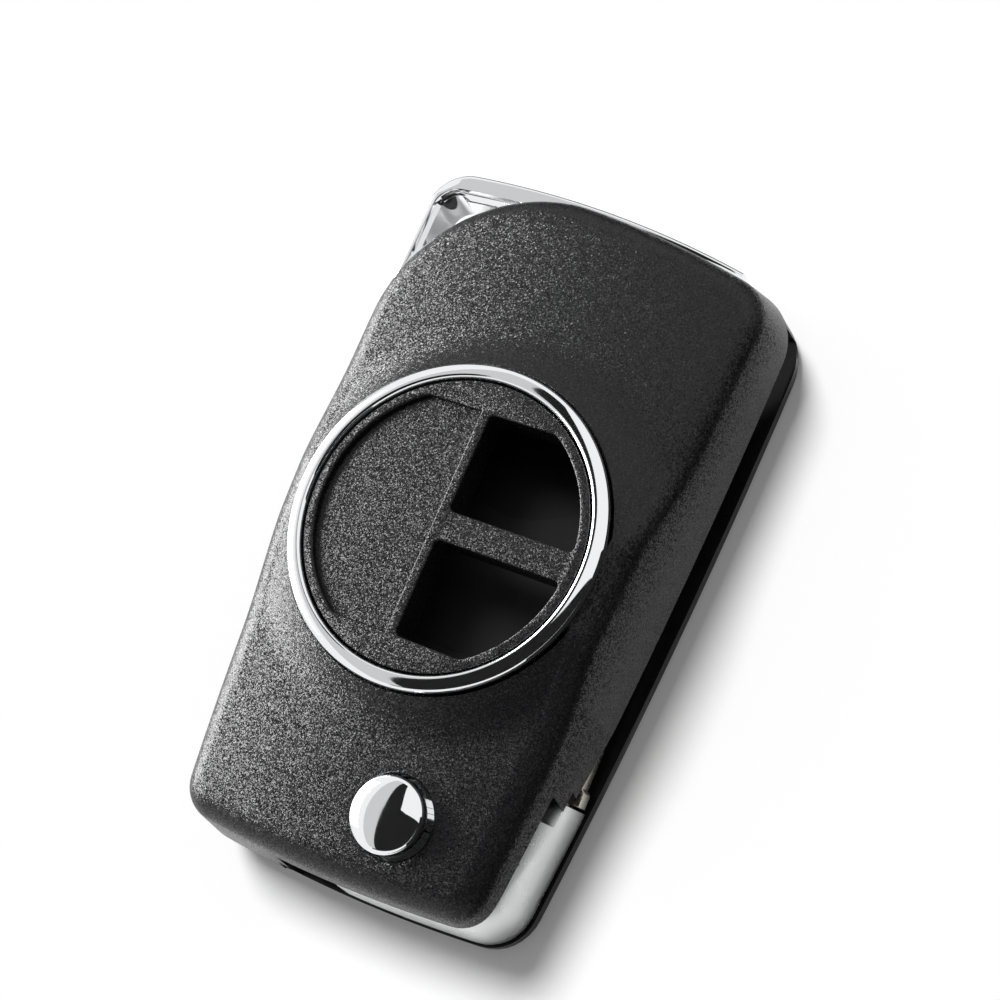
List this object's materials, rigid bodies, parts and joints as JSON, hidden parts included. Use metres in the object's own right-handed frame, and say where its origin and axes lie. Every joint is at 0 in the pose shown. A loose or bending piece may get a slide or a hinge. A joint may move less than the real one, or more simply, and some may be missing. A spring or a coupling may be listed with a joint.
{
  "type": "flip key remote shell",
  "caption": "Moulded remote key fob with a raised ringed disc, empty button windows, a blade that folds into its long side, a domed release button and a keyring corner.",
  "frame": {"origin": "on the back face, under the middle of the plan outline, with the fob lying on its back and the key folded", "axes": "+Z out of the face with the ring, +Y along the fob towards the keyring corner, +X towards the side that the blade folds into"},
  "size_m": [0.04, 0.0687, 0.0168],
  "materials": {
    "black_sparkle_plastic": "black with fine metallic sparkle, satin",
    "black_plain_plastic": "black, satin",
    "chrome_plating": "bright chrome plating",
    "nickel_silver": "warm grey, as rolled",
    "spring_steel": "drawn",
    "blackened_steel": "black oxide"
  },
  "bodies": {
    "housing": {"front_shell": "black_sparkle_plastic", "back_shell": "black_plain_plastic", "bezel_ring": "chrome_plating", "keyring_frame": "chrome_plating", "board_tray": "black_plain_plastic", "spring_washer": "spring_steel", "flip_spring": "spring_steel", "housing_screw_1": "blackened_steel", "housing_screw_2": "blackened_steel", "housing_screw_3": "blackened_steel"},
    "flip_key": {"blade_hub": "chrome_plating", "key_blade": "nickel_silver", "blade_pin": "spring_steel"},
    "button": {"release_button": "chrome_plating"}
  },
  "joints": [
    {"name": "blade_flip", "type": "hinge", "parent": "housing", "child": "flip_key", "pos_m": [0.00557, -0.0258, 0.006], "axis": [0, 0, -1], "range_deg": [0, 180]},
    {"name": "release_press", "type": "slide", "parent": "flip_key", "child": "button", "axis": [0, 0, -1], "range_m": [0, 0.0014], "stiffness_N_per_m": 800, "deforming": ["flip_spring"]}
  ]
}
